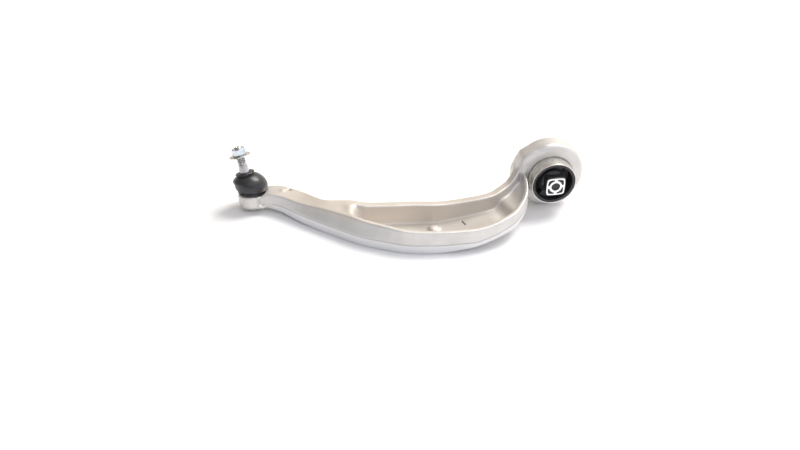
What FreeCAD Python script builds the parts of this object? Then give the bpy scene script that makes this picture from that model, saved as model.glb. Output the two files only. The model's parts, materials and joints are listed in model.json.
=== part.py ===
"""Control arm of a car's front suspension: forged arm, ball joint and rubber bush.

Units are mm.  The origin is the centre of the bush bore.  The bush axis is Y, Z is up,
and the ball joint is towards -X.
"""
import math
import os

import FreeCAD
import Part

Vec = FreeCAD.Vector

# resting plane and eye ring
REST_Z = -47.0
EYE_RADIUS = 48.25
EYE_CENTRE_Z = 1.25
EYE_WIDTH = 26.0
EYE_CENTRE_Y = 7.5
EYE_ROUNDING = 7.0
EYE_BACK_ROUNDING = 1.5

GUSSET_OUTLINE = [(-51.0, -12.0), (-51.0, 8.0), (-40.5, 34.5), (-24.0, 43.0), (-20.0, 34.0),
                  (-33.0, -12.0)]

# bush
SLEEVE_RADIUS = 31.5
SLEEVE_WALL = 1.5
SLEEVE_LENGTH = 49.0
PRESS_GAP = 0.02
CORE_HALF = 12.5
CORE_BARREL = 1.0
CORE_LENGTH = 63.0
CORE_WALL = 1.8
CORE_TUBE_RADIUS = 9.0
BOLT_RADIUS = 6.1
HUB_RADIUS = 18.0
HUB_GAP = 0.05
LINING = 3.6
CAGE_RADIUS = 28.6
CAGE_WALL = 1.0
CAGE_LENGTH = 42.0
CAGE_WINDOW_HALF_ANGLE = 40.0
CAGE_WINDOW_LENGTH = 16.0
RUBBER_HALF = 14.0
VOID_DEPTH = 11.0
VOID_INNER = 19.5
VOID_OUTER = 26.4
VOID_HALF_ANGLE = 52.0

# ball joint
BALL_CENTRE = Vec(-412.5, 55.7, -29.1)
HOUSING_AXIS = Vec(0.06, 0.26, 1.0)
STUD_AXIS = Vec(-0.18, 0.28, 1.0)
BALL_RADIUS = 11.0
BALL_GAP = 0.05
RACE_RADIUS = 13.0
HOUSING_RADIUS = 19.0
HOUSING_NECK_RADIUS = 15.5
HOUSING_BOTTOM = -15.0
HOUSING_STEP = 4.0
HOUSING_TOP = 10.0
COVER_THICKNESS = 2.0
STUD_NECK_RADIUS = 5.5
SEAT_LARGE_RADIUS = 7.25
SEAT_SMALL_RADIUS = 6.2
SEAT_START = 27.0
SEAT_TAPER = 36.5
SEAT_END = 49.0
THREAD_RADIUS = 6.0
THREAD_GAP = 0.05
STUD_END = 74.0
BOOT_BEND = (16.0, 31.5)
BOOT_CLAMP_RADIUS = 18.1
BOOT_CLAMP_WIRE = 2.3
BOOT_CLAMP_HEIGHT = 7.0
BOOT_LIP_RADIUS = 12.45
BOOT_LIP_WIRE = 1.3
BOOT_LIP_HEIGHT = 34.35
# boot wall as (radius, height above the ball centre)
BOOT_OUTSIDE = [(17.4, 4.3), (17.8, 4.9), (17.6, 5.5), (16.9, 5.9), (16.9, 8.1), (17.9, 8.5),
                (19.4, 9.3), (20.8, 10.9), (21.9, 13.2), (22.7, 16.0), (23.0, 18.6),
                (22.85, 21.2), (22.2, 23.9), (20.9, 26.6), (19.0, 29.0), (16.7, 31.1),
                (14.3, 32.6), (12.3, 33.3), (11.7, 33.7), (11.7, 35.0), (13.3, 35.2),
                (13.5, 36.0), (12.8, 36.8), (10.8, 37.3)]
BOOT_INSIDE = [(15.55, 3.3), (15.55, 10.4), (17.2, 11.0), (19.2, 12.6), (20.2, 14.2),
               (20.9, 16.5), (21.2, 18.8), (21.05, 20.9), (20.4, 23.2), (19.2, 25.5),
               (17.4, 27.6), (15.3, 29.4), (13.0, 30.8), (10.9, 31.5), (9.4, 31.9),
               (7.3, 32.3), (7.3, 38.0)]
NUT_ACROSS_FLATS = 18.0
NUT_BOTTOM = 60.5
NUT_TOP = 72.5
WASHER_RADIUS = 15.2
WASHER_THICKNESS = 2.6

# arm walls
RIM_WIDTH = 6.3
FLANGE_WIDTH = 11.0
WALL_DRAFT = 4.0
DIE_DRAFT = 2.0
LOW_DRAFT = 0.6
NARROW_SECTION = 34.0

# arm sections, ball joint end first: x and y of the front wall, x and y of the back wall,
# set-back of the front rim, then heights above the resting plane: underside, parting line,
# front rim, back flange, floor
SECTIONS = [
    (-403.0, 42.5, -402.0, 67.5, 3.0, 9.0, 15.0, 26.5, 26.5, 26.5),
    (-378.0, 32.0, -379.0, 66.5, 4.0, 5.0, 15.0, 28.5, 28.5, 28.5),
    (-349.5, 4.0, -345.0, 46.0, 8.0, 1.5, 15.0, 29.0, 29.0, 29.0),
    (-315.0, -27.0, -310.0, 10.5, 11.0, 0.0, 15.0, 33.0, 33.0, 33.0),
    (-285.0, -52.0, -276.0, 3.0, 11.0, 0.0, 15.0, 35.0, 34.0, 34.5),
    (-270.0, -63.0, -260.0, -4.0, 9.0, 0.0, 15.0, 35.0, 33.5, 8.0),
    (-243.0, -77.0, -230.0, -8.0, 7.0, 0.0, 14.5, 34.0, 33.0, 5.5),
    (-212.0, -90.0, -198.0, -11.0, 3.5, 0.0, 14.0, 33.0, 33.0, 5.5),
    (-173.0, -96.0, -158.0, -17.0, 2.0, 0.5, 14.0, 33.0, 33.0, 8.0),
    (-125.0, -99.0, -107.0, -18.0, 2.0, 8.0, 16.0, 34.0, 37.0, 16.0),
    (-69.0, -81.0, -86.0, -15.0, 2.0, 19.0, 29.0, 42.5, 40.5, 22.0),
    (-60.0, -72.5, -79.0, -11.5, 2.0, 21.5, 31.5, 45.0, 42.5, 31.0),
    (-50.0, -60.0, -64.0, -3.5, 2.0, 24.5, 34.5, 49.0, 47.0, 36.0),
    (-42.0, -44.0, -57.0, 1.5, 2.0, 28.0, 38.5, 53.5, 53.5, 42.0),
    (-37.0, -20.0, -52.0, 6.0, 2.0, 32.0, 43.0, 58.0, 60.0, 47.0),
    (-35.0, 8.0, -50.0, 14.0, 2.0, 32.0, 44.0, 60.0, 62.0, 50.0),
]
STEPS_BETWEEN = 3


def blended(low, high, low_slope, high_slope, part):
    """Smooth step from low to high with the given end slopes."""
    p2 = part * part
    p3 = p2 * part
    return ((2 * p3 - 3 * p2 + 1) * low + (p3 - 2 * p2 + part) * low_slope
            + (3 * p2 - 2 * p3) * high + (p3 - p2) * high_slope)


def gentle_slope(before, after):
    """Slope at a section that never lets the curve swing past its neighbours."""
    if before * after <= 0:
        return 0.0
    return 2 * before * after / (before + after)


def refined(rows, steps):
    """Rows with smooth rows added between them."""
    last = len(rows) - 1
    slopes = []
    for k, row in enumerate(rows):
        before = rows[max(k - 1, 0)]
        after = rows[min(k + 1, last)]
        slopes.append([gentle_slope(v - b, a - v) for b, v, a in zip(before, row, after)])
    result = []
    for k in range(last):
        for step in range(steps):
            part = step / steps
            result.append([blended(v, w, sv, sw, part) for v, w, sv, sw
                           in zip(rows[k], rows[k + 1], slopes[k], slopes[k + 1])])
    result.append(list(rows[last]))
    return result


def wire_of(points):
    """Closed polygon through the points."""
    return Part.makePolygon(points + [points[0]])


def channel_section(section):
    """Outline of the arm across its length: a channel open at the top."""
    front = Vec(section[0], section[1], REST_Z)
    back = Vec(section[2], section[3], REST_Z)
    width = (back - front).Length
    across = (back - front).normalize()
    set_back, low, parting, rim, flange, floor = section[4:]
    scale = min(1.0, width / NARROW_SECTION)

    def point(inset, height):
        start = front if inset >= 0 else back
        return start + across * inset * scale + Vec(0, 0, height)

    rim_inner = set_back + RIM_WIDTH
    flange_inner = DIE_DRAFT + FLANGE_WIDTH
    return wire_of([
        point(LOW_DRAFT, low),
        point(0.0, parting),
        point(set_back, rim),
        point(rim_inner, rim),
        point(rim_inner + WALL_DRAFT, floor),
        point(-flange_inner - WALL_DRAFT, floor),
        point(-flange_inner, flange),
        point(-DIE_DRAFT, flange),
        point(-0.001, parting),
        point(-LOW_DRAFT, low),
    ])


def arm_channel():
    """Forged channel from the ball housing to the eye."""
    sections = [channel_section(row) for row in refined(SECTIONS, STEPS_BETWEEN)]
    return Part.makeLoft(sections, True)


def disc(radius, width, centre_y):
    """Cylinder about the bush axis."""
    return Part.makeCylinder(radius, width, Vec(0, centre_y - width / 2, 0), Vec(0, 1, 0))


def tube(outer, inner, width, centre_y=0.0):
    """Tube about the bush axis."""
    return disc(outer, width, centre_y).cut(disc(inner, width + 2, centre_y))


def eye_ring():
    """Solid eye with rounded outer edges and the gusset on its upper left."""
    ring = disc(EYE_RADIUS, EYE_WIDTH, EYE_CENTRE_Y)
    ring.translate(Vec(0, 0, EYE_CENTRE_Z))
    circles = [e for e in ring.Edges if isinstance(e.Curve, Part.Circle)]
    circles.sort(key=lambda e: e.Curve.Center.y)
    ring = ring.makeFillet(EYE_ROUNDING, circles[:1])
    circles = [e for e in ring.Edges if isinstance(e.Curve, Part.Circle)]
    circles.sort(key=lambda e: e.Curve.Center.y)
    ring = ring.makeFillet(EYE_BACK_ROUNDING, circles[-1:])
    face_y = EYE_CENTRE_Y - EYE_WIDTH / 2
    outline = [Vec(x, face_y, z) for x, z in GUSSET_OUTLINE]
    gusset = Part.Face(wire_of(outline)).extrude(Vec(0, EYE_WIDTH, 0))
    return ring.fuse(gusset)


def turned(points, axis):
    """Solid of revolution from (radius, distance from ball centre) about an axis there."""
    profile = wire_of([Vec(r, 0, s) for r, s in points])
    solid = Part.Face(profile).revolve(Vec(0, 0, 0), Vec(0, 0, 1), 360)
    return on_axis(solid, axis)


def on_axis(shape, axis):
    """Shape moved from the Z axis at the origin to an axis through the ball centre."""
    turn = FreeCAD.Rotation(Vec(0, 0, 1), axis)
    shape = shape.copy()
    shape.Placement = FreeCAD.Placement(BALL_CENTRE, turn).multiply(shape.Placement)
    return shape


def housing_outer():
    """Outside of the ball housing."""
    return turned([
        (0, HOUSING_BOTTOM), (HOUSING_RADIUS - 5.8, HOUSING_BOTTOM),
        (HOUSING_RADIUS - 3.4, HOUSING_BOTTOM + 1.2), (HOUSING_RADIUS - 1.7, HOUSING_BOTTOM + 4.5),
        (HOUSING_RADIUS - 0.7, HOUSING_BOTTOM + 9.5), (HOUSING_RADIUS, HOUSING_STEP - 1),
        (HOUSING_RADIUS - 0.8, HOUSING_STEP),
        (HOUSING_NECK_RADIUS, HOUSING_STEP), (HOUSING_NECK_RADIUS, HOUSING_TOP), (0, HOUSING_TOP),
    ], HOUSING_AXIS)


def housing_inner():
    """Hollow of the ball housing, with the lip that holds the race and the cover seat."""
    seat = RACE_RADIUS + PRESS_GAP
    return turned([
        (0, HOUSING_BOTTOM - 1), (seat - 1, HOUSING_BOTTOM - 1), (seat - 1, HOUSING_BOTTOM + 1.2),
        (seat, HOUSING_BOTTOM + 1.2), (seat, HOUSING_TOP - 2), (12.4, HOUSING_TOP - 1),
        (12.4, HOUSING_TOP + 1), (0, HOUSING_TOP + 1),
    ], HOUSING_AXIS)


def boot_clearance():
    """Scoop in the neck of the arm that leaves room for the boot and its clamp ring."""
    return turned([
        (0, HOUSING_STEP), (20.2, HOUSING_STEP), (20.4, 8.5), (21.6, 10.9), (22.7, 13.2),
        (23.6, 16.0), (24.0, 20.0), (24.0, 40.0), (0, 40.0),
    ], HOUSING_AXIS)


def control_arm():
    """Forged arm: channel section, eye ring and ball housing in one piece."""
    arm = arm_channel().cut(boot_clearance())
    arm = arm.fuse(eye_ring()).fuse(housing_outer()).removeSplitter()
    arm = arm.cut(disc(SLEEVE_RADIUS + PRESS_GAP, 80, 0)).cut(housing_inner())
    return max(arm.Solids, key=lambda s: s.Volume)


def ball_stud():
    """Ball, neck, tapered seat and plain thread cylinder of the stud."""
    shank = turned([
        (0, 4), (STUD_NECK_RADIUS, 4), (STUD_NECK_RADIUS, 20), (SEAT_LARGE_RADIUS, SEAT_START),
        (SEAT_LARGE_RADIUS, SEAT_TAPER), (SEAT_SMALL_RADIUS, SEAT_END),
        (THREAD_RADIUS - 0.6, SEAT_END + 0.6), (THREAD_RADIUS, SEAT_END + 1.4),
        (THREAD_RADIUS, STUD_END - 1), (THREAD_RADIUS - 1, STUD_END), (0, STUD_END),
    ], STUD_AXIS)
    ball = on_axis(Part.makeSphere(BALL_RADIUS), STUD_AXIS)
    return shank.fuse(ball).removeSplitter()


def ball_race():
    """Plastic shell between ball and housing."""
    shell = turned([
        (0, HOUSING_BOTTOM + 3.4), (RACE_RADIUS, HOUSING_BOTTOM + 3.4), (RACE_RADIUS, 7.9),
        (11.6, 7.9), (9.8, 5.2), (0, 5.2),
    ], HOUSING_AXIS)
    return shell.cut(on_axis(Part.makeSphere(BALL_RADIUS + BALL_GAP), HOUSING_AXIS))


def closing_cover():
    """Pressed steel cover under the race."""
    low = HOUSING_BOTTOM + 1.3
    radius = RACE_RADIUS - 0.05
    return turned([
        (0, low + 0.6), (6, low + 0.6), (7.5, low), (radius, low),
        (radius, low + COVER_THICKNESS), (8, low + COVER_THICKNESS),
        (6.5, low + COVER_THICKNESS + 0.05), (0, low + COVER_THICKNESS + 0.05),
    ], HOUSING_AXIS)


def boot_circle(radius, height):
    """Circle round the boot, whose axis leans from the housing's to the stud's as it rises."""
    low, high = BOOT_BEND
    part = min(1.0, max(0.0, (height - low) / (high - low)))
    part = part * part * (3 - 2 * part)
    lower = Vec(HOUSING_AXIS).normalize()
    upper = Vec(STUD_AXIS).normalize()
    axis = (lower * (1 - part) + upper * part).normalize()
    return Part.Wire(Part.makeCircle(radius, BALL_CENTRE + axis * height, axis))


def bent_solid(profile):
    """Solid through the boot circles of a (radius, height) profile."""
    return Part.makeLoft([boot_circle(radius, height) for radius, height in profile], True, True)


def dust_boot():
    """Rubber boot between the housing neck and the stud seat."""
    return bent_solid(BOOT_OUTSIDE).cut(bent_solid(BOOT_INSIDE))


def wire_ring(radius, thickness, distance, axis):
    """Round wire ring about an axis through the ball centre."""
    ring = Part.makeTorus(radius, thickness / 2)
    ring.translate(Vec(0, 0, distance))
    return on_axis(ring, axis)


def stud_nut():
    """Hexagon nut with the boss that carries the washer."""
    corner = NUT_ACROSS_FLATS / math.sqrt(3)
    points = [Vec(corner * math.cos(k * math.pi / 3), corner * math.sin(k * math.pi / 3), 0)
              for k in range(6)]
    start = NUT_BOTTOM + WASHER_THICKNESS + 0.1
    hexagon = Part.Face(wire_of(points)).extrude(Vec(0, 0, NUT_TOP - start))
    hexagon.translate(Vec(0, 0, start))
    rounding = Part.makeCone(corner + 3.2, 8.2, 12.6, Vec(0, 0, NUT_TOP - 11.2))
    nut = on_axis(hexagon.common(rounding), STUD_AXIS)
    nut = nut.fuse(turned([(0, NUT_BOTTOM + 0.3), (8.0, NUT_BOTTOM + 0.3),
                           (8.0, start), (0, start)], STUD_AXIS))
    bore = THREAD_RADIUS + THREAD_GAP
    return nut.cut(turned([(0, NUT_BOTTOM - 1), (bore, NUT_BOTTOM - 1),
                           (bore, NUT_TOP + 1), (0, NUT_TOP + 1)], STUD_AXIS))


def nut_washer():
    """Dished captive washer under the nut."""
    return turned([
        (8.2, NUT_BOTTOM + 0.9), (WASHER_RADIUS, NUT_BOTTOM), (WASHER_RADIUS, NUT_BOTTOM + 1.4),
        (WASHER_RADIUS - 1, NUT_BOTTOM + 1.8), (9.6, NUT_BOTTOM + WASHER_THICKNESS),
        (8.2, NUT_BOTTOM + WASHER_THICKNESS),
    ], STUD_AXIS)


def barrel_square(half, barrel, length):
    """Square bar along Y whose four sides bow outwards."""
    corners = [(-half, -half), (half, -half), (half, half), (-half, half)]
    edges = []
    for k in range(4):
        x0, z0 = corners[k]
        x1, z1 = corners[(k + 1) % 4]
        mid_x, mid_z = (x0 + x1) / 2, (z0 + z1) / 2
        reach = 1 + barrel / half
        edges.append(Part.Arc(Vec(x0, -length / 2, z0),
                              Vec(mid_x * reach, -length / 2, mid_z * reach),
                              Vec(x1, -length / 2, z1)).toShape())
    bar = Part.Face(Part.Wire(edges)).extrude(Vec(0, length, 0))
    long_edges = [e for e in bar.Edges
                  if abs(e.Vertexes[0].Y - e.Vertexes[1].Y) > length * 0.9]
    return bar.makeFillet(2.5, long_edges)


def bush_core():
    """Extruded core: barrelled square outside, bolt tube and four corner hollows."""
    bar = barrel_square(CORE_HALF - CORE_BARREL / 2, CORE_BARREL, CORE_LENGTH)
    inner_half = CORE_HALF - CORE_BARREL / 2 - CORE_WALL
    hollow = barrel_square(inner_half, CORE_BARREL, CORE_LENGTH + 2)
    hollow = hollow.cut(disc(CORE_TUBE_RADIUS, CORE_LENGTH + 4, 0))
    for size in ((4.2, 40), (40, 4.2)):
        rib = Part.makeBox(size[0], CORE_LENGTH + 4, size[1])
        rib.translate(Vec(-size[0] / 2, -CORE_LENGTH / 2 - 2, -size[1] / 2))
        hollow = hollow.cut(rib)
    return bar.cut(hollow).cut(disc(BOLT_RADIUS, CORE_LENGTH + 4, 0))


def core_rubber():
    """Rubber hub moulded round the middle of the core."""
    hub = disc(HUB_RADIUS, 2 * (RUBBER_HALF + 6), 0)
    edges = [e for e in hub.Edges if isinstance(e.Curve, Part.Circle)]
    hub = hub.makeChamfer(2.5, edges)
    half = CORE_HALF - CORE_BARREL / 2 + PRESS_GAP
    return hub.cut(barrel_square(half, CORE_BARREL, 80))


def kidney(inner, outer, half_angle, width, centre_y, middle_angle):
    """Kidney-shaped block about the bush axis, centred on an angle from +X towards +Z."""
    ring = tube(outer, inner, width, centre_y)
    reach = outer * 2
    low = math.radians(middle_angle - half_angle)
    high = math.radians(middle_angle + half_angle)
    start = centre_y - width / 2 - 1
    wedge = wire_of([
        Vec(0, start, 0),
        Vec(reach * math.cos(low), start, reach * math.sin(low)),
        Vec(reach * 1.4 * math.cos((low + high) / 2), start,
            reach * 1.4 * math.sin((low + high) / 2)),
        Vec(reach * math.cos(high), start, reach * math.sin(high)),
    ])
    return ring.common(Part.Face(wedge).extrude(Vec(0, width + 2, 0)))


def bush_rubber():
    """Rubber bonded to the sleeve: two spokes, side hollows and the thin wall lining."""
    outer = SLEEVE_RADIUS - SLEEVE_WALL - PRESS_GAP
    web = tube(outer, HUB_RADIUS + HUB_GAP, 2 * RUBBER_HALF)
    lining = tube(outer, outer - LINING, SLEEVE_LENGTH - 1.6)
    rubber = web.fuse(lining)
    for angle in (0, 180):
        for side in (-1, 1):
            centre_y = side * (RUBBER_HALF - VOID_DEPTH / 2 + 2)
            rubber = rubber.cut(kidney(VOID_INNER, VOID_OUTER, VOID_HALF_ANGLE,
                                       VOID_DEPTH + 4, centre_y, angle))
    return rubber


def rubber_cage():
    """Steel tube inside the rubber, with a window on either side."""
    cage = tube(CAGE_RADIUS, CAGE_RADIUS - CAGE_WALL, CAGE_LENGTH)
    for angle in (0, 180):
        cage = cage.cut(kidney(CAGE_RADIUS - 3, CAGE_RADIUS + 2, CAGE_WINDOW_HALF_ANGLE,
                               CAGE_WINDOW_LENGTH, 0, angle))
    return cage


def bush_sleeve():
    """Outer steel sleeve pressed into the eye."""
    return tube(SLEEVE_RADIUS, SLEEVE_RADIUS - SLEEVE_WALL, SLEEVE_LENGTH)


def main():
    """Build every piece and write one STEP file per piece."""
    cage = rubber_cage()
    pieces = {
        "control_arm": control_arm(),
        "ball_stud": ball_stud(),
        "ball_race": ball_race(),
        "closing_cover": closing_cover(),
        "dust_boot": dust_boot(),
        "boot_clamp_ring": wire_ring(BOOT_CLAMP_RADIUS, BOOT_CLAMP_WIRE, BOOT_CLAMP_HEIGHT,
                                     HOUSING_AXIS),
        "boot_lip_ring": wire_ring(BOOT_LIP_RADIUS, BOOT_LIP_WIRE, BOOT_LIP_HEIGHT, STUD_AXIS),
        "stud_nut": stud_nut(),
        "nut_washer": nut_washer(),
        "bush_sleeve": bush_sleeve(),
        "bush_core": bush_core(),
        "core_rubber": core_rubber(),
        "bush_rubber": bush_rubber().cut(cage),
        "rubber_cage": cage,
    }
    os.makedirs("parts", exist_ok=True)
    for name, shape in pieces.items():
        box = shape.BoundBox
        print(name, shape.ShapeType, len(shape.Solids), shape.isValid(), round(shape.Volume),
              [round(v, 1) for v in (box.XMin, box.XMax, box.YMin, box.YMax, box.ZMin, box.ZMax)])
        shape.exportStep("parts/" + name + ".step")


main()
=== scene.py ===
"""Looks of the control arm: forged arm, ball joint and bush, in the row frame, in metres."""

import json
import math

import bpy
import numpy as np
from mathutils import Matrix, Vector


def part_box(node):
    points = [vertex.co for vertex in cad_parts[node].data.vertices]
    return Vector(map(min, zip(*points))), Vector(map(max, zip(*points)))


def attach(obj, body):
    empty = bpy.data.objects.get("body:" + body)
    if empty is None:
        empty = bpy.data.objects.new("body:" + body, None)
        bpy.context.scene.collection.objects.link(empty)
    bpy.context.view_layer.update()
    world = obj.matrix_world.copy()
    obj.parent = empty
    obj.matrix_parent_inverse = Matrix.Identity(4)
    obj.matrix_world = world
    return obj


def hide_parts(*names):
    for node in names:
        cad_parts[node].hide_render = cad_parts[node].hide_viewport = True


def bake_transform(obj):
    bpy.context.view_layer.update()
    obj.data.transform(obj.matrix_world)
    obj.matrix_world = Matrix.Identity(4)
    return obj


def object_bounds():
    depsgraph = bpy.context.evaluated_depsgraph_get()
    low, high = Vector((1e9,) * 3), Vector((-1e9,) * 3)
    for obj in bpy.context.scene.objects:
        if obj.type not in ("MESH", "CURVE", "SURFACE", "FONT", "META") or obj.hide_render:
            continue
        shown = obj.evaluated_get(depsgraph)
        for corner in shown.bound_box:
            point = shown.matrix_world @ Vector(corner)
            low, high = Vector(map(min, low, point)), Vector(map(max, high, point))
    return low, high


MM = 0.001

# forged arm
FORGING_VOXEL = 0.8 * MM
EDGE_PASSES = 9
HOLLOW_PASSES = 22
# extra smoothing where the gusset meets the ring, kept clear of the bush's bore
SOFT_CORNER = {"centre": (-35.0, -5.0, 34.0), "radius": 29.0, "fade": 8.0, "passes": 110}
BORE_KEPT = {"radius": 34.0, "fade": 4.0}
# (x, z) along the line where the dies met
PARTING_LINE = [(-405, -32), (-243, -32.5), (-173, -33), (-125, -31), (-93, -25), (-64, -17),
                (-44, -10), (-30, -4)]
BOSS = {"centre": (-172.0, -48.0, -39.3), "radius": 7.2, "height": 3.6}
NUB = {"centre": (-369.0, 48.5, -18.8), "radius": 4.0, "height": 1.6}
# the dark spot in the dimple is painted shade
DIMPLE = {"centre": (-359.0, 49.0, -17.8), "radius": 4.5, "depth": 1.2, "shade_radius": 2.4}
MARK = {"start": (-132.5, -42.0), "end": (-130.0, -52.0), "half_width": 0.9, "depth": 0.6}
MARK_BELOW = -20.0
LEDGE_ANGLES = (-70.0, 20.0)
LEDGE_REACH = 7.5
# (radius, height, share of the reach that is added to the radius)
LEDGE_SECTION = [(16.0, -13.0, 0), (18.0, -12.5, 1), (17.8, -9.5, 1), (16.0, -8.0, 0)]
FRONT_SPAN = (-385.0, -35.0)
FRONT_DEPTH = 9.0
FRONT_COLUMN = 2.0
PARTING_HALF_WIDTH = 0.75
# height of the painted lighter band below the parting line
LIGHT_BAND_FADE = 2.0
# the painted warm reflection fades out towards the right end and towards the left end
WARM_REFLECTION_RIGHT = {"x": -45.0, "fade": 25.0}
WARM_REFLECTION_LEFT = {"x": -400.0, "fade": 30.0, "least": 0.2}

# ball joint, as (radius, distance from the ball centre along its axis)
HOUSING_AXIS = Vector((0.06, 0.26, 1.0)).normalized()
THREAD_TOP = 73.0
THREAD_BOTTOM = 50.4
THREAD_PITCH = 1.5
THREAD_DEPTH = 0.9
THREAD_RADIUS = 6.0
THREAD_RUN_OUT = 1.2
# the neck, hidden in the boot, is 0.6 mm thinner than the CAD stud's, to clear the race
STUD_PROFILE = [(0.3, -11.0), (4.0, -10.3), (7.5, -8.1), (9.6, -5.4), (10.9, -1.6), (10.9, 1.6),
                (9.9, 4.8), (8.1, 7.4), (5.2, 9.7), (4.9, 11.0), (4.9, 17.0), (5.9, 21.5),
                (7.1, 26.0), (7.25, 27.4), (7.25, 36.5), (6.22, 48.6), (5.5, 49.2), (5.3, 50.2)]
STUD_TIP = [(5.2, 73.1), (4.8, 73.8), (4.4, 74.0), (1.9, 74.0), (1.5, 73.4), (0.2, 72.2)]
NUT_FLATS = 18.0
NUT_BASE = 63.2
NUT_TOP = 72.5
NUT_BORE = 6.4
NUT_BOSS = [(8.0, 60.8), (8.05, 60.9), (8.05, 63.1)]
WASHER_PROFILE = [(8.2, 61.4), (9.4, 61.2), (14.4, 60.6), (15.05, 60.7), (15.2, 61.1),
                  (15.2, 61.6), (15.0, 61.95), (14.3, 62.3), (12.0, 62.55), (9.8, 63.05),
                  (8.5, 63.1), (8.2, 62.9)]
BOOT_OUTSIDE = [(16.0, 4.35), (17.4, 4.3), (17.8, 4.9), (17.6, 5.5), (16.9, 5.9), (16.9, 8.1),
                (17.9, 8.5), (19.4, 9.3), (20.8, 10.9), (21.9, 13.2), (22.7, 16.0),
                (23.0, 18.6), (22.85, 21.2), (22.2, 23.9), (20.9, 26.6), (19.0, 29.0),
                (16.7, 31.1), (14.3, 32.6), (12.3, 33.3), (11.7, 33.7), (11.7, 35.0),
                (13.3, 35.2), (13.5, 36.0), (12.8, 36.8), (10.8, 37.3)]
BOOT_INSIDE = [(15.6, 4.6), (15.6, 10.4), (17.2, 11.0), (19.2, 12.6), (20.2, 14.2), (20.9, 16.5),
               (21.2, 18.8), (21.05, 20.9), (20.4, 23.2), (19.2, 25.5), (17.4, 27.6),
               (15.3, 29.4), (13.0, 30.8), (10.9, 31.5), (9.4, 31.9), (7.3, 32.3), (7.3, 36.6)]
# rows of the two lists where the lower and upper piece meet
BOOT_WIDEST = 11
BOOT_INSIDE_WIDEST = 6
# heights between which the boot's axis turns from the housing's to the stud's
BOOT_BEND = (16.0, 31.5)
# heights of the boot's stretching zone, and the margin each side of the join
BOOT_STRETCH = (9.5, 29.0)
BOOT_JOIN_MARGIN = 1.5
CLAMP_WIRE = {"radius": 18.1, "height": 7.0, "wire": 0.62, "turns": 2.6, "pitch": 1.12}
LIP_WIRE = {"radius": 12.45, "height": 34.35, "wire": 0.45, "turns": 2.4, "pitch": 0.85}

# bush
SLEEVE_PROFILE = [(30.1, -23.9), (30.6, -24.45), (31.1, -24.5), (31.45, -24.1), (31.5, -23.4),
                  (31.5, 23.4), (31.3, 24.1), (30.9, 24.5), (30.5, 24.45), (30.1, 23.9),
                  (30.0, 20.0), (30.0, -20.0)]
RUBBER_VOXEL = 0.6 * MM
SKIN_LENGTH = 29.6
SKIN_HALF = 13.3

# picture
VIEW_AZIMUTH = -9.17
VIEW_ELEVATION = 35.0
VIEW_LENS = 40.5
VIEW_FROM_CENTRE = Vector((-0.1808, -1.0161, 0.6620))
FLOOR_HALF = 40.0
FLOOR_GAP = 0.0002

# light
ROOM_COOL = (0.90, 0.92, 1.0, 1.0)
ROOM_WARM = (1.0, 0.885, 0.75, 1.0)
ROOM_SIDES = (0.31, 0.88)
ROOM_HEIGHTS = (1.75, 0.95)
KEY_STRENGTH = 2.9
KEY_SPREAD = 30.0
KEY_FROM = (0.58, 0.34, 0.95)
KEY_COLOUR = (1.0, 0.985, 0.96)
FRONT_BOX = {"from_centre": (0.15, -0.75, 1.05), "size": (1.3, 0.5), "power": 2.5}

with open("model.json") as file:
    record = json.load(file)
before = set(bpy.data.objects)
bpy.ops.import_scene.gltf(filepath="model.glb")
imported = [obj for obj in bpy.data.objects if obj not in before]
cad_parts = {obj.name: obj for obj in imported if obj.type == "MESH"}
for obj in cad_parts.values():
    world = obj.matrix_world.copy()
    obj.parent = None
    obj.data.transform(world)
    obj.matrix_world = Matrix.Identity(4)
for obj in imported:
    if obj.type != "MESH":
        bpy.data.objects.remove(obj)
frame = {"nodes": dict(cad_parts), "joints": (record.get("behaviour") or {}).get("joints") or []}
cad_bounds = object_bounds()
joints = {joint["name"]: joint for joint in frame["joints"]}
nodes = frame["nodes"]
ball_centre = Vector(joints["stud_spin"]["pos_m"])
stud_axis = Vector(joints["stud_spin"]["axis"]).normalized()
resting_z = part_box("control_arm")[0].z


# ---------- materials ----------

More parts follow.
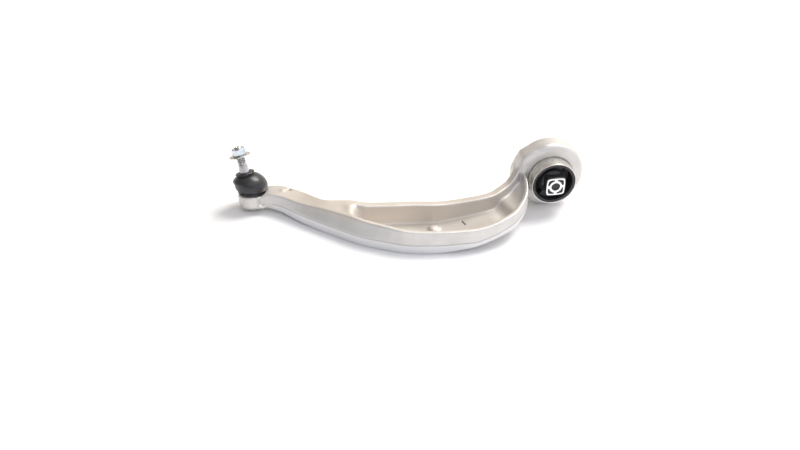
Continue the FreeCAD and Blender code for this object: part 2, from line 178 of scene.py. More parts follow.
class Shader:
    """A material's node tree, with short calls for the nodes used here."""

    def __init__(self, name):
        self.material = bpy.data.materials.new(name)
        self.material.use_nodes = True
        self.tree = self.material.node_tree
        self.tree.nodes.clear()
        self.surface = self.tree.nodes.new("ShaderNodeBsdfPrincipled")
        output = self.tree.nodes.new("ShaderNodeOutputMaterial")
        self.tree.links.new(self.surface.outputs[0], output.inputs["Surface"])
        self.place = self.tree.nodes.new("ShaderNodeTexCoord").outputs["Object"]

    def put(self, socket, value):
        """Link an output to a socket, or set a constant on it."""
        if isinstance(value, bpy.types.NodeSocket):
            self.tree.links.new(value, socket)
        else:
            socket.default_value = value

    def noise(self, scale, detail=4.0, rough=0.5, stretch=None):
        """Noise in object space, with its scale in features per metre."""
        node = self.tree.nodes.new("ShaderNodeTexNoise")
        node.inputs["Scale"].default_value = scale
        node.inputs["Detail"].default_value = detail
        node.inputs["Roughness"].default_value = rough
        place = self.place
        if stretch:
            mapping = self.tree.nodes.new("ShaderNodeMapping")
            mapping.inputs["Scale"].default_value = stretch
            self.put(mapping.inputs["Vector"], place)
            place = mapping.outputs[0]
        self.put(node.inputs["Vector"], place)
        return node.outputs["Fac"]

    def cells(self, scale):
        """Distance to the nearest cell point."""
        node = self.tree.nodes.new("ShaderNodeTexVoronoi")
        node.inputs["Scale"].default_value = scale
        self.put(node.inputs["Vector"], self.place)
        return node.outputs["Distance"]

    def attribute(self, name):
        """A number stored on the mesh."""
        node = self.tree.nodes.new("ShaderNodeAttribute")
        node.attribute_name = name
        return node.outputs["Fac"]

    def math(self, operation, a, b=0.0):
        """Math node on one or two values."""
        node = self.tree.nodes.new("ShaderNodeMath")
        node.operation = operation
        self.put(node.inputs[0], a)
        self.put(node.inputs[1], b)
        return node.outputs[0]

    def ramp(self, value, low, high, out_low=0.0, out_high=1.0):
        """Smooth step of a value between two limits."""
        node = self.tree.nodes.new("ShaderNodeMapRange")
        node.interpolation_type = "SMOOTHSTEP"
        self.put(node.inputs["Value"], value)
        for name, number in (("From Min", low), ("From Max", high),
                             ("To Min", out_low), ("To Max", out_high)):
            node.inputs[name].default_value = number
        return node.outputs["Result"]

    def mix(self, factor, a, b):
        """Colour between a and b."""
        node = self.tree.nodes.new("ShaderNodeMix")
        node.data_type = "RGBA"
        self.put(node.inputs[0], factor)
        self.put(node.inputs[6], a if isinstance(a, bpy.types.NodeSocket) else (*a, 1.0))
        self.put(node.inputs[7], b if isinstance(b, bpy.types.NodeSocket) else (*b, 1.0))
        return node.outputs[2]

    def bump(self, height, depth_mm):
        """Bump of a height value, added to any bump already there."""
        node = self.tree.nodes.new("ShaderNodeBump")
        node.inputs["Strength"].default_value = 1.0
        node.inputs["Distance"].default_value = depth_mm * MM
        self.put(node.inputs["Height"], height)
        normal = self.surface.inputs["Normal"]
        if normal.is_linked:
            self.put(node.inputs["Normal"], normal.links[0].from_socket)
        self.put(normal, node.outputs[0])

    def set(self, **values):
        """Set sockets of the surface by name, with _ for a space."""
        for name, value in values.items():
            self.put(self.surface.inputs[name.replace("_", " ")], value)


def forged_aluminium():
    """Satin forging: blasted grain, flow lines, worn edges, parting line, and painted light: a
    warm reflection on upward faces, a lighter band below the parting line and shade in the
    dimple.
    """
    s = Shader("forged_aluminium")
    blotch = s.noise(34.0, 5.0, 0.6)
    grain = s.noise(1400.0, 3.0, 0.65)
    flow = s.noise(230.0, 4.0, 0.6, stretch=(0.10, 0.4, 1.6))
    pits = s.ramp(s.cells(380.0), 0.04, 0.14)
    edge = s.ramp(s.attribute("edge"), 0.02, 0.14)
    parting = s.attribute("parting")
    tone = s.mix(s.ramp(blotch, 0.32, 0.7), (0.60, 0.585, 0.565), (0.68, 0.665, 0.645))
    tone = s.mix(s.math("MULTIPLY", s.ramp(flow, 0.5, 0.78), 0.3), tone, (0.50, 0.485, 0.465))
    # painted reflection: tan tint on upward faces away from the bowed front face, standing in
    # for warm light from behind
    tone = s.mix(s.math("MULTIPLY", s.attribute("warm"), 0.6), tone, (0.69, 0.625, 0.555))
    tone = s.mix(s.math("MULTIPLY", edge, 0.6), tone, (0.80, 0.79, 0.775))
    tone = s.mix(s.math("MULTIPLY", parting, 0.75), tone, (0.30, 0.285, 0.27))
    # painted light: a lighter, cooler band on the bowed face below the parting line
    tone = s.mix(s.math("MULTIPLY", s.attribute("under"), 0.6), tone, (0.76, 0.77, 0.80))
    # nearly black in the cut stroke, and painted shade in the dimple
    tone = s.mix(s.attribute("engraved"), tone, (0.12, 0.105, 0.10))
    rough = s.math("ADD", s.ramp(grain, 0.3, 0.7, 0.40, 0.50),
                   s.ramp(blotch, 0.3, 0.7, -0.03, 0.05))
    rough = s.math("SUBTRACT", rough, s.math("MULTIPLY", edge, 0.08))
    s.set(Base_Color=tone, Metallic=0.6, Roughness=rough)
    s.bump(grain, 0.035)
    s.bump(flow, 0.10)
    s.bump(pits, 0.03)
    s.bump(parting, -0.25)
    return s.material


def turned_steel(name, light, dark, rough, axis_stretch=(1.0, 1.0, 14.0), scale=160.0):
    """Turned or drawn metal with fine tool marks and light staining."""
    s = Shader(name)
    marks = s.noise(scale, 4.0, 0.6, stretch=axis_stretch)
    stain = s.noise(90.0, 4.0, 0.6)
    speck = s.noise(2200.0, 2.0, 0.5)
    tone = s.mix(s.ramp(stain, 0.35, 0.68), light, dark)
    tone = s.mix(s.math("MULTIPLY", s.ramp(marks, 0.48, 0.7), 0.4), tone,
                 tuple(0.72 * c for c in dark))
    roughness = s.math("ADD", s.ramp(marks, 0.3, 0.7, rough - 0.05, rough + 0.07),
                       s.ramp(stain, 0.4, 0.7, 0.0, 0.06))
    s.set(Base_Color=tone, Metallic=1.0, Roughness=roughness)
    s.bump(marks, 0.04)
    s.bump(speck, 0.01)
    return s.material


def moulded_rubber(name, dark, light, rough, sheen=0.0):
    """Moulded rubber: fine skin texture, faint bloom, dust in patches."""
    s = Shader(name)
    bloom = s.noise(70.0, 5.0, 0.62)
    skin = s.noise(1700.0, 3.0, 0.6)
    dust = s.ramp(s.noise(520.0, 2.0, 0.5), 0.66, 0.76)
    tone = s.mix(s.ramp(bloom, 0.42, 0.75), dark, light)
    tone = s.mix(s.math("MULTIPLY", dust, 0.10), tone, (0.28, 0.27, 0.26))
    s.set(Base_Color=tone, Roughness=s.ramp(bloom, 0.3, 0.7, rough, rough + 0.14))
    s.set(Coat_Weight=sheen, Coat_Roughness=0.22, IOR=1.48)
    s.bump(skin, 0.025)
    s.bump(bloom, 0.06)
    return s.material


def race_plastic():
    """Pale bearing plastic with faint moulding marks."""
    s = Shader("race_plastic")
    cloud = s.noise(110.0, 3.0, 0.5)
    tone = s.mix(s.ramp(cloud, 0.35, 0.7), (0.80, 0.78, 0.70), (0.72, 0.69, 0.60))
    s.set(Base_Color=tone, Roughness=s.ramp(cloud, 0.3, 0.7, 0.38, 0.5))
    s.bump(s.noise(900.0, 2.0), 0.02)
    return s.material


def core_metal():
    """Extruded core: sawn bright ends, lengthways die lines on its sides."""
    s = Shader("core_metal")
    saw = s.noise(900.0, 3.0, 0.6, stretch=(0.25, 1.0, 2.4))
    die = s.noise(800.0, 3.0, 0.6, stretch=(1.0, 0.04, 1.0))
    stain = s.noise(120.0, 4.0, 0.6)
    tone = s.mix(s.ramp(stain, 0.4, 0.72), (0.93, 0.93, 0.94), (0.80, 0.80, 0.815))
    tone = s.mix(s.math("MULTIPLY", s.ramp(saw, 0.52, 0.72), 0.25), tone, (0.62, 0.62, 0.64))
    s.set(Base_Color=tone, Metallic=1.0, Roughness=s.ramp(saw, 0.3, 0.7, 0.30, 0.42))
    s.bump(saw, 0.03)
    s.bump(die, 0.02)
    return s.material


def pale_floor():
    """Matt white table."""
    s = Shader("pale_floor")
    cloud = s.noise(3.0, 3.0, 0.5)
    tone = s.mix(cloud, (0.93, 0.93, 0.935), (0.95, 0.95, 0.955))
    s.set(Base_Color=tone, Roughness=0.75, Specular_IOR_Level=0.2)
    return s.material


# ---------- meshes ----------

def new_piece(name, points, faces, material, smooth=True):
    """Object of points and faces in the row frame, with its material and slot."""
    mesh = bpy.data.meshes.new(name)
    mesh.from_pydata([tuple(p) for p in points], [], faces)
    mesh.validate()
    mesh.update()
    mesh.polygons.foreach_set("use_smooth", [smooth] * len(mesh.polygons))
    mesh.materials.append(material)
    piece = bpy.data.objects.new(name, mesh)
    bpy.context.scene.collection.objects.link(piece)
    return piece


def keep_creases(piece, degrees=38.0):
    """Shade smooth except over edges sharper than the angle."""
    bpy.context.view_layer.objects.active = piece
    for other in bpy.context.selected_objects:
        other.select_set(False)
    piece.select_set(True)
    bpy.ops.object.shade_smooth_by_angle(angle=math.radians(degrees))
    piece.select_set(False)


def frame_about(axis):
    """Rotation that takes Z to the axis."""
    return Vector((0, 0, 1)).rotation_difference(axis).to_matrix()


def grid_faces(rows, columns, closed_rows=False):
    """Faces of a grid that closes round its columns, and over its rows if asked."""
    faces = []
    for i in range(rows if closed_rows else rows - 1):
        below = i * columns
        above = ((i + 1) % rows) * columns
        for j in range(columns):
            k = (j + 1) % columns
            faces.append((below + j, below + k, above + k, above + j))
    return faces


def softened(profile, rounds=2):
    """Profile with its corners cut, so that turned edges catch the light."""
    for _ in range(rounds):
        cut = [profile[0]]
        for (r0, z0), (r1, z1) in zip(profile, profile[1:]):
            cut.append((0.8 * r0 + 0.2 * r1, 0.8 * z0 + 0.2 * z1))
            cut.append((0.2 * r0 + 0.8 * r1, 0.2 * z0 + 0.8 * z1))
        cut.append(profile[-1])
        profile = cut
    return profile


def surface_about(rows, columns, place):
    """Points of a surface; rows give (radius, height) or a function of the angle."""
    points = []
    for row in rows:
        for j in range(columns):
            angle = 2 * math.pi * j / columns
            radius, height = row(angle) if callable(row) else row
            points.append(place(radius * MM, angle, height * MM))
    return points


def on_ball_axis(turn):
    """Placing function for a surface about an axis through the ball centre."""
    def place(radius, angle, height):
        return ball_centre + turn @ Vector((radius * math.cos(angle),
                                            radius * math.sin(angle), height))
    return place


def thread_rows(low, high, crest, depth, per_turn=10):
    """Rows of a helical thread between two heights."""
    rows = []
    count = int((high - low) / THREAD_PITCH * per_turn)
    for k in range(count + 1):
        height = low + (high - low) * k / count

        def row(angle, height=height):
            turn = (height / THREAD_PITCH - angle / (2 * math.pi)) % 1.0
            tooth = 1 - abs(2 * turn - 1)
            fade = min(1.0, (high - height) / THREAD_RUN_OUT, (height - low) / THREAD_RUN_OUT)
            tooth = min(1.0, max(0.0, 1.25 * tooth - 0.12))
            return crest - depth * (1 - tooth * max(fade, 0.0)), height
        rows.append(row)
    return rows


def make_stud():
    """Ball stud with its tapered seat and a cut thread."""
    rows = softened(STUD_PROFILE)
    rows += thread_rows(THREAD_BOTTOM, THREAD_TOP, THREAD_RADIUS, THREAD_DEPTH)
    rows += STUD_TIP
    columns = 96
    points = surface_about(rows, columns, on_ball_axis(frame_about(stud_axis)))
    faces = grid_faces(len(rows), columns)
    faces.append(tuple(reversed(range(columns))))
    faces.append(tuple(range((len(rows) - 1) * columns, len(rows) * columns)))
    material = turned_steel("stud_steel", (0.62, 0.62, 0.625), (0.42, 0.41, 0.40), 0.24)
    stud = new_piece("stud_shaft", points, faces, material)
    keep_creases(stud, 50.0)
    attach(stud, "stud")
    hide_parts("ball_stud")


def make_nut():
    """Hexagon nut with chamfered corners, a boss and a threaded bore."""
    corner = NUT_FLATS / math.sqrt(3)

    def hexagon(height, limit):
        def row(angle):
            side = (angle + math.pi / 6) % (math.pi / 3) - math.pi / 6
            flat = NUT_FLATS / 2 / math.cos(side)
            return min(flat, limit), height
        return row

    rows = list(NUT_BOSS)
    rows.append(hexagon(NUT_BASE, NUT_FLATS / 2 - 0.15))
    for k in range(4):
        rows.append(hexagon(NUT_BASE + 0.05 + 0.3 * k, NUT_FLATS / 2 + 0.1 + 0.45 * k))
    for k in range(6):
        rows.append(hexagon(NUT_TOP - 1.3 + 0.25 * k, corner - 0.2 - 0.38 * k))
    rows += [(NUT_FLATS / 2 - 0.8, NUT_TOP), (6.9, NUT_TOP), (NUT_BORE, NUT_TOP - 0.5)]
    rows += list(reversed(thread_rows(62.0, NUT_TOP - 0.6, NUT_BORE, 0.33)))
    rows += [(6.5, 61.4), (6.9, 60.8)]
    columns = 120
    points = surface_about(rows, columns, on_ball_axis(frame_about(stud_axis)))
    material = turned_steel("nut_steel", (0.66, 0.70, 0.73), (0.46, 0.50, 0.54), 0.16,
                            (1, 1, 3), 300.0)
    nut = new_piece("hex_nut", points, grid_faces(len(rows), columns, True), material)
    keep_creases(nut, 24.0)
    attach(nut, "nut")
    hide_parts("stud_nut")


def make_washer():
    """Dished captive washer with a rolled rim."""
    rows = softened(WASHER_PROFILE + WASHER_PROFILE[:1])[:-1]
    columns = 96
    points = surface_about(rows, columns, on_ball_axis(frame_about(stud_axis)))
    material = turned_steel("washer_steel", (0.70, 0.69, 0.65), (0.50, 0.49, 0.44), 0.28,
                            (1, 1, 3), 260.0)
    washer = new_piece("dished_washer", points, grid_faces(len(rows), columns, True), material)
    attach(washer, "washer")
    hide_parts("nut_washer")


def boot_place(radius, angle, height):
    """Point of the boot, whose axis leans from the housing's to the stud's as it rises."""
    low, high = BOOT_BEND
    part = min(1.0, max(0.0, (height / MM - low) / (high - low)))
    part = part * part * (3 - 2 * part)
    axis = HOUSING_AXIS.lerp(stud_axis, part).normalized()
    return on_ball_axis(frame_about(axis))(radius, angle, height)


def make_boot():
    """Dust boot in two pieces that meet at its widest line."""
    material = moulded_rubber("boot_rubber", (0.010, 0.010, 0.012), (0.018, 0.018, 0.020),
                              0.34, 0.25)
    columns = 128
    skirt = softened(BOOT_OUTSIDE[:BOOT_WIDEST + 1])
    skirt += list(reversed(BOOT_INSIDE[:BOOT_INSIDE_WIDEST + 1]))
    crown = softened(BOOT_OUTSIDE[BOOT_WIDEST:])
    crown += list(reversed(BOOT_INSIDE[BOOT_INSIDE_WIDEST:]))
    low = ball_centre + HOUSING_AXIS * BOOT_STRETCH[0] * MM
    join = ball_centre + HOUSING_AXIS * BOOT_OUTSIDE[BOOT_WIDEST][1] * MM
    top = ball_centre + HOUSING_AXIS * BOOT_STRETCH[1] * MM
    gap = HOUSING_AXIS * BOOT_JOIN_MARGIN * MM
    parts = (("boot_lower", skirt, "arm", "boot", low, join - gap),
             ("boot_upper", crown, "boot", "boot_collar", join + gap, top))
    for name, rows, first, second, start, end in parts:
        points = surface_about(rows, columns, boot_place)
        piece = new_piece(name, points, grid_faces(len(rows), columns, True), material)
        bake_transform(piece)
        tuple(start)
        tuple(end)
        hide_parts("dust_boot")


def make_wire_ring(name, spec, axis, body, node, material):
    """Spring wire wound a little over two turns in its groove."""
    steps, sides = int(spec["turns"] * 72), 10
    place = on_ball_axis(frame_about(axis))
    points = []
    for k in range(steps + 1):
        angle = 2 * math.pi * spec["turns"] * k / steps
        rise = spec["pitch"] * (k / steps - 0.5)
        for j in range(sides):
            around = 2 * math.pi * j / sides
            radius = spec["radius"] + spec["wire"] * math.cos(around)
            height = spec["height"] + rise * spec["turns"] / 2 + spec["wire"] * math.sin(around)
            points.append(place(radius * MM, angle, height * MM))
    faces = grid_faces(steps + 1, sides)
    faces += [tuple(range(sides)), tuple(reversed(range(steps * sides, (steps + 1) * sides)))]
    ring = new_piece(name, points, faces, material)
    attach(ring, body)
    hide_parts(node)


def joined_copy(name, node, extras):
    """New mesh object: a copy of a CAD node with closed extra shapes beside it."""
    mesh = nodes[node].data.copy()
    mesh.materials.clear()
    piece = bpy.data.objects.new(name, mesh)
    bpy.context.scene.collection.objects.link(piece)
    if extras:
        for other in bpy.context.selected_objects:
            other.select_set(False)
        for extra in extras:
            extra.select_set(True)
        piece.select_set(True)
        bpy.context.view_layer.objects.active = piece
        bpy.ops.object.join()
    return piece


def plain_extra(points, faces):
    """Closed helper shape that gets joined into another piece."""
    mesh = bpy.data.meshes.new("extra")
    mesh.from_pydata([tuple(p) for p in points], [], faces)
    mesh.update()
    extra = bpy.data.objects.new("extra", mesh)
    bpy.context.scene.collection.objects.link(extra)
    return extra


def dome(centre, radius, height):
    """Low rounded button on a level face, sunk below its foot."""
    profile = [(radius * 1.15, -2.0), (radius * 1.1, 0.0), (radius * 0.9, height * 0.6),
               (radius * 0.6, height * 0.93), (radius * 0.1, height)]
    columns = 40
    points = []
    for r, z in profile:
        for j in range(columns):
            angle = 2 * math.pi * j / columns
            points.append(Vector(centre) * MM + Vector(
                (r * MM * math.cos(angle), r * MM * math.sin(angle), z * MM)))
    faces = grid_faces(len(profile), columns)
    faces.append(tuple(reversed(range(columns))))
    faces.append(tuple(range((len(profile) - 1) * columns, len(profile) * columns)))
    return plain_extra(points, faces)


def housing_ledge():
    """Thin shoulder between the housing's foot and the neck of the arm."""
    place = on_ball_axis(frame_about(HOUSING_AXIS))
    low, high = LEDGE_ANGLES
    steps = 24
    points = []
    for k in range(steps + 1):
        angle = math.radians(low + (high - low) * k / steps)
        reach = LEDGE_REACH * math.sin(math.pi * k / steps)
        for radius, height, share in LEDGE_SECTION:
            points.append(place((radius + share * reach) * MM, angle, height * MM))
    sides = len(LEDGE_SECTION)
    faces = grid_faces(steps + 1, sides)
    faces += [tuple(range(sides)), tuple(reversed(range(steps * sides, (steps + 1) * sides)))]
    return plain_extra(points, faces)


def remeshed(piece, voxel):
    """Mesh of a piece after a voxel remesh, with its points and edges as arrays."""
    modifier = piece.modifiers.new("skin", "REMESH")
    modifier.mode = "VOXEL"
    modifier.voxel_size = voxel
    graph = bpy.context.evaluated_depsgraph_get()
    mesh = bpy.data.meshes.new_from_object(piece.evaluated_get(graph))
    bpy.data.objects.remove(piece)
    points = np.zeros(len(mesh.vertices) * 3)
    mesh.vertices.foreach_get("co", points)
    edges = np.zeros(len(mesh.edges) * 2, int)
    mesh.edges.foreach_get("vertices", edges)
    return mesh, points.reshape(-1, 3), edges.reshape(-1, 2)


def neighbour_mean(points, edges, counts):
    """Mean place of each point's neighbours."""
    total = np.zeros_like(points)
    for axis in range(points.shape[1]):
        total[:, axis] = (np.bincount(edges[:, 0], points[edges[:, 1], axis], len(points))
                          + np.bincount(edges[:, 1], points[edges[:, 0], axis], len(points)))
    return total / counts[:, None]


def normals_of(mesh, points):
    """Point normals after the points are written to the mesh."""
    mesh.vertices.foreach_set("co", points.ravel())
    mesh.update()
    normals = np.zeros(len(points) * 3)
    mesh.vertices.foreach_get("normal", normals)
    return normals.reshape(-1, 3)


def smoothed(mesh, points, edges, edge_passes, hollow_passes):
    """Points with all edges rounded and hollow corners more so, and each point's edge count."""
    counts = np.bincount(edges.ravel(), minlength=len(points)).astype(float)
    for _ in range(edge_passes):
        points = points + 0.5 * (neighbour_mean(points, edges, counts) - points)
    for _ in range(hollow_passes):
        normals = normals_of(mesh, points)
        shift = neighbour_mean(points, edges, counts) - points
        hollow = (shift * normals).sum(1) > 0.004 * MM
        points = points + 0.5 * shift * hollow[:, None]
    return points, counts


def store(mesh, name, values):
    """Keep a number for each point of a mesh."""
    attribute = mesh.attributes.new(name, "FLOAT", "POINT")
    attribute.data.foreach_set("value", np.asarray(values, np.float32))


def distance_to_run(points, start, end):
    """Distance of points to a straight run between two points."""
    run = end - start
    part = np.clip((points - start) @ run / (run @ run), 0.0, 1.0)
    return np.linalg.norm(points - (start + part[:, None] * run), axis=1)


def near_front_edge(points):
    """True for points on the bowed outer side, found from the frontmost point at each x."""
    column = np.round(points[:, 0] / (FRONT_COLUMN * MM)).astype(int)
    column -= column.min()
    front = np.full(column.max() + 1, np.inf)
    np.minimum.at(front, column, points[:, 1])
    left, right = FRONT_SPAN
    inside = (points[:, 0] > left * MM) & (points[:, 0] < right * MM)
    return inside & (points[:, 1] < front[column] + FRONT_DEPTH * MM)


def soften_corner(points, edges, counts):
    """Points with the gusset blended into the eye ring."""
    centre = np.array(SOFT_CORNER["centre"]) * MM
    reach = np.linalg.norm(points - centre, axis=1)
    soft = np.clip((SOFT_CORNER["radius"] * MM - reach) / (SOFT_CORNER["fade"] * MM), 0, 1)
    from_bore = np.hypot(points[:, 0], points[:, 2]) - BORE_KEPT["radius"] * MM
    soft *= np.clip(from_bore / (BORE_KEPT["fade"] * MM), 0, 1)
    for _ in range(SOFT_CORNER["passes"]):
        shift = neighbour_mean(points, edges, counts) - points
        points = points + 0.5 * shift * soft[:, None]
    return points


def sink_dimple(points, normals):
    """Points with the dimple pressed in, and the painted shade inside it."""
    reach = np.linalg.norm(points - np.array(DIMPLE["centre"]) * MM, axis=1)
    sink = DIMPLE["depth"] * MM * np.exp(-(reach / (DIMPLE["radius"] * MM)) ** 2 * 2)
    # painted shade inside the dimple
    stain = 0.8 * np.exp(-(reach / (DIMPLE["shade_radius"] * MM)) ** 2)
    return points - normals * sink[:, None], stain


def cut_mark(points, normals):
    """Points with the short stroke cut in the pocket's floor, and how deep each lies in it."""
    start, end = (np.array(MARK[k]) * MM for k in ("start", "end"))
    near = distance_to_run(points[:, :2], start, end) / (MARK["half_width"] * MM)
    level = (normals[:, 2] > 0.6) * (points[:, 2] < MARK_BELOW * MM)
    engraved = np.clip(1.6 - near, 0, 1) * level
    return points - normals * (engraved * MARK["depth"] * MM)[:, None], engraved


def parting_line_and_painted_light(points, normals):
    """Parting line, painted light as a lighter band beneath it, and painted warm reflection off
    the bowed face, from 0 to 1.
    """
    line_x, line_z = np.array(PARTING_LINE).T * MM
    height = points[:, 2] - np.interp(points[:, 0], line_x, line_z)
    upright = np.clip(2.2 * (0.6 - np.abs(normals[:, 2])), 0, 1)
    facing = np.clip(-normals[:, 1] * 4 + 0.4, 0, 1)
    outside = near_front_edge(points)
    parting = np.exp(-(height / (PARTING_HALF_WIDTH * MM)) ** 2) * upright * facing * outside
    # painted light: lighter band below the parting line
    under = np.clip(-height / (LIGHT_BAND_FADE * MM), 0, 1) * facing * outside
    from_right = (WARM_REFLECTION_RIGHT["x"] * MM - points[:, 0]) / (WARM_REFLECTION_RIGHT["fade"] * MM)
    from_left = (points[:, 0] - WARM_REFLECTION_LEFT["x"] * MM) / (WARM_REFLECTION_LEFT["fade"] * MM)
    # painted warm reflection, strongest on upward faces and absent on the bowed front face
    warm = np.clip(from_right, 0, 1) * (1 - outside * facing)
    warm *= np.clip(from_left, WARM_REFLECTION_LEFT["least"], 1)
    warm *= np.clip(2 * normals[:, 2] + 1, 0.35, 1)
    return parting, under, warm


def make_arm():
    """Forged arm with rounded edges, boss, nub, ledge, soft corner, dimple with painted shade,
    mark, and tones with painted light.
    """
    extras = [dome(BOSS["centre"], BOSS["radius"], BOSS["height"]),
              dome(NUB["centre"], NUB["radius"], NUB["height"]),
              housing_ledge()]
    piece = joined_copy("arm_blank", "control_arm", extras)
    mesh, points, edges = remeshed(piece, FORGING_VOXEL)
    points, counts = smoothed(mesh, points, edges, EDGE_PASSES, HOLLOW_PASSES)
    points = soften_corner(points, edges, counts)
    normals = normals_of(mesh, points)
    points, stain = sink_dimple(points, normals)
    points, engraved = cut_mark(points, normals)
    lean = (neighbour_mean(points, edges, counts) - points) * normals
    parting, under, warm = parting_line_and_painted_light(points, normals)

    normals_of(mesh, points)
    store(mesh, "edge", -lean.sum(1) / FORGING_VOXEL)
    store(mesh, "parting", parting)
    # painted light of the band below the parting line
    store(mesh, "under", under)
    # painted warm reflection
    store(mesh, "warm", warm)
    # dark in the cut stroke, and painted shade in the dimple
    store(mesh, "engraved", np.clip(engraved + stain, 0, 1))
    mesh.polygons.foreach_set("use_smooth", [True] * len(mesh.polygons))
    mesh.materials.clear()
    mesh.materials.append(forged_aluminium())
    arm = bpy.data.objects.new("arm_forging", mesh)
    bpy.context.scene.collection.objects.link(arm)
    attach(arm, "arm")
    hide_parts("control_arm")


def make_sleeve():
    """Pressed-in sleeve with small chamfers at both ends."""
    rows = softened(SLEEVE_PROFILE + SLEEVE_PROFILE[:1], 1)[:-1]
    columns = 160

    def place(radius, angle, height):
        return Vector((radius * math.cos(angle), height, radius * math.sin(angle)))

    points = surface_about(rows, columns, place)
    material = turned_steel("sleeve_metal", (0.80, 0.775, 0.73), (0.66, 0.635, 0.59), 0.27,
                            (1.0, 9.0, 1.0), 190.0)
    faces = [tuple(reversed(face)) for face in grid_faces(len(rows), columns, True)]
    sleeve = new_piece("bush_sleeve_skin", points, faces, material)
    keep_creases(sleeve, 30.0)
    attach(sleeve, "arm")
    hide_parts("bush_sleeve")


def core_skin(half, length):
    """Rounded square block that leaves a thin rubber skin on the core."""
    outline = []
    for k in range(64):
        angle = 2 * math.pi * (k + 0.5) / 64
        c, s = math.cos(angle), math.sin(angle)
        reach = half / (abs(c) ** 7 + abs(s) ** 7) ** (1 / 7)
        outline.append((reach * c * MM, reach * s * MM))
    points = [Vector((x, y * MM, z)) for y in (-length, length) for x, z in outline]
    faces = grid_faces(2, 64)
    faces += [tuple(range(64)), tuple(reversed(range(64, 128)))]
    return plain_extra(points, faces)


def make_rubber(name, node, body, extras, material):
    """Rubber moulding with soft corners from its CAD node."""
    piece = joined_copy(name + "_blank", node, extras)
    mesh, points, edges = remeshed(piece, RUBBER_VOXEL)
    points, _ = smoothed(mesh, points, edges, 3, 8)
    normals_of(mesh, points)
    mesh.polygons.foreach_set("use_smooth", [True] * len(mesh.polygons))
    mesh.materials.clear()
    mesh.materials.append(material)
    rubber = bpy.data.objects.new(name, mesh)
    bpy.context.scene.collection.objects.link(rubber)
    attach(rubber, body)
    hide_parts(node)


def make_bush():
    """Sleeve, both rubber mouldings and the finish of the core and cage."""
    make_sleeve()
    material = moulded_rubber("bush_rubber", (0.024, 0.024, 0.027), (0.046, 0.043, 0.041), 0.40)
    make_rubber("bush_rubber_body", "bush_rubber", "arm", [], material)
    make_rubber("core_rubber_hub", "core_rubber", "core", [core_skin(SKIN_HALF, SKIN_LENGTH)],
                material)
    bevel = nodes["bush_core"].modifiers.new("sawn_edge", "BEVEL")
    bevel.width = 0.25 * MM
    bevel.segments = 2
    bevel.limit_method = "ANGLE"
    bevel.angle_limit = math.radians(50)
    paint("bush_core", core_metal())
    paint("rubber_cage", turned_steel("cage_steel", (0.42, 0.42, 0.43), (0.28, 0.28, 0.29), 0.4))


def paint(node, material):
    """Give a shown CAD node its material."""
    mesh = nodes[node].data
    mesh.materials.clear()
    mesh.materials.append(material)
    keep_creases(nodes[node])


def make_ball_joint():
    """Stud, nut, washer, boot, rings and the finish of the inner pieces."""
    make_stud()
    make_nut()
    make_washer()
    make_boot()
    black_wire = turned_steel("ring_steel", (0.10, 0.10, 0.105), (0.05, 0.05, 0.055), 0.24)
    make_wire_ring("boot_clamp_wire", CLAMP_WIRE, HOUSING_AXIS, "arm", "boot_clamp_ring",
                   black_wire)
    make_wire_ring("boot_lip_wire", LIP_WIRE, stud_axis, "boot_collar", "boot_lip_ring",
                   black_wire)
    paint("ball_race", race_plastic())
    paint("closing_cover", turned_steel("cover_steel", (0.62, 0.61, 0.56), (0.46, 0.45, 0.41),
                                        0.34))


# ---------- picture ----------

def make_floor():
    """Pale table under the arm."""
    half = FLOOR_HALF
    corners = [(-half, -half), (half, -half), (half, half), (-half, half)]
    mesh = bpy.data.meshes.new("floor")
    mesh.from_pydata([(x, y, resting_z - FLOOR_GAP) for x, y in corners], [], [(0, 1, 2, 3)])
    mesh.materials.append(pale_floor())
    floor = bpy.data.objects.new("floor", mesh)
    bpy.context.scene.collection.objects.link(floor)


def soft_light(name, place, aim, size, power):
    """Rectangular white soft light aimed at a point."""
    light = bpy.data.lights.new(name, "AREA")
    light.shape = "RECTANGLE"
    light.size, light.size_y = size
    light.energy = power
    lamp = bpy.data.objects.new(name, light)
    lamp.location = place
    lamp.rotation_euler = (Vector(aim) - Vector(place)).to_track_quat("-Z", "Y").to_euler()
    bpy.context.scene.collection.objects.link(lamp)


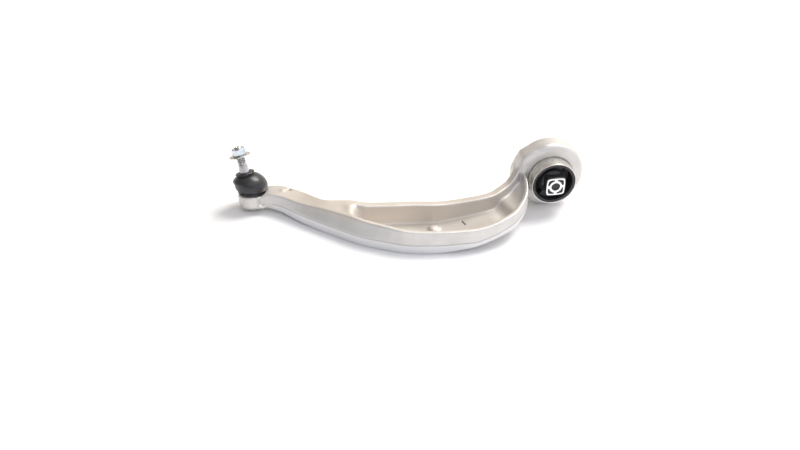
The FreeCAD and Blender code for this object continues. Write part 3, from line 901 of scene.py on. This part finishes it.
def make_lights():
    """Bright room: cool in front, warm behind, darker to the left, with a broad key lamp."""
    world = bpy.data.worlds.new("room")
    bpy.context.scene.world = world
    world.use_nodes = True
    tree = world.node_tree
    way = tree.nodes.new("ShaderNodeTexCoord").outputs["Generated"]
    parts = tree.nodes.new("ShaderNodeSeparateXYZ")
    tree.links.new(way, parts.inputs[0])

    def along(axis, start, end, low, high):
        node = tree.nodes.new("ShaderNodeMapRange")
        for name, number in (("From Min", start), ("From Max", end),
                             ("To Min", low), ("To Max", high)):
            node.inputs[name].default_value = number
        tree.links.new(parts.outputs[axis], node.inputs["Value"])
        return node.outputs[0]

    colour = tree.nodes.new("ShaderNodeMix")
    colour.data_type = "RGBA"
    colour.inputs[6].default_value = ROOM_COOL
    colour.inputs[7].default_value = ROOM_WARM
    tree.links.new(along("Y", -0.3, 0.6, 0.0, 1.0), colour.inputs[0])
    strength = tree.nodes.new("ShaderNodeMath")
    strength.operation = "MULTIPLY"
    tree.links.new(along("X", -0.8, 0.8, *ROOM_SIDES), strength.inputs[0])
    tree.links.new(along("Z", 0.0, 0.7, *ROOM_HEIGHTS), strength.inputs[1])
    tree.links.new(colour.outputs[2], tree.nodes["Background"].inputs["Color"])
    tree.links.new(strength.outputs[0], tree.nodes["Background"].inputs["Strength"])

    sun = bpy.data.lights.new("key", "SUN")
    sun.energy = KEY_STRENGTH
    sun.angle = math.radians(KEY_SPREAD)
    sun.color = KEY_COLOUR
    lamp = bpy.data.objects.new("key", sun)
    lamp.rotation_euler = (-Vector(KEY_FROM)).to_track_quat("-Z", "Y").to_euler()
    bpy.context.scene.collection.objects.link(lamp)
    centre = (cad_bounds[0] + cad_bounds[1]) / 2
    soft_light("front_box", centre + Vector(FRONT_BOX["from_centre"]), centre, FRONT_BOX["size"],
               FRONT_BOX["power"])


def make_camera():
    """Camera that looks down at the arm from its bowed side."""
    data = bpy.data.cameras.new("camera")
    data.lens = VIEW_LENS
    data.clip_start = 0.05
    data.dof.use_dof = False
    camera = bpy.data.objects.new("camera", data)
    centre = (cad_bounds[0] + cad_bounds[1]) / 2
    camera.location = centre + VIEW_FROM_CENTRE
    camera.rotation_euler = (math.radians(90 - VIEW_ELEVATION), 0, math.radians(VIEW_AZIMUTH))
    bpy.context.scene.collection.objects.link(camera)
    bpy.context.scene.camera = camera


make_camera()
make_arm()
make_ball_joint()
make_bush()
make_floor()
make_lights()
bpy.context.scene.view_settings.view_transform = "Standard"
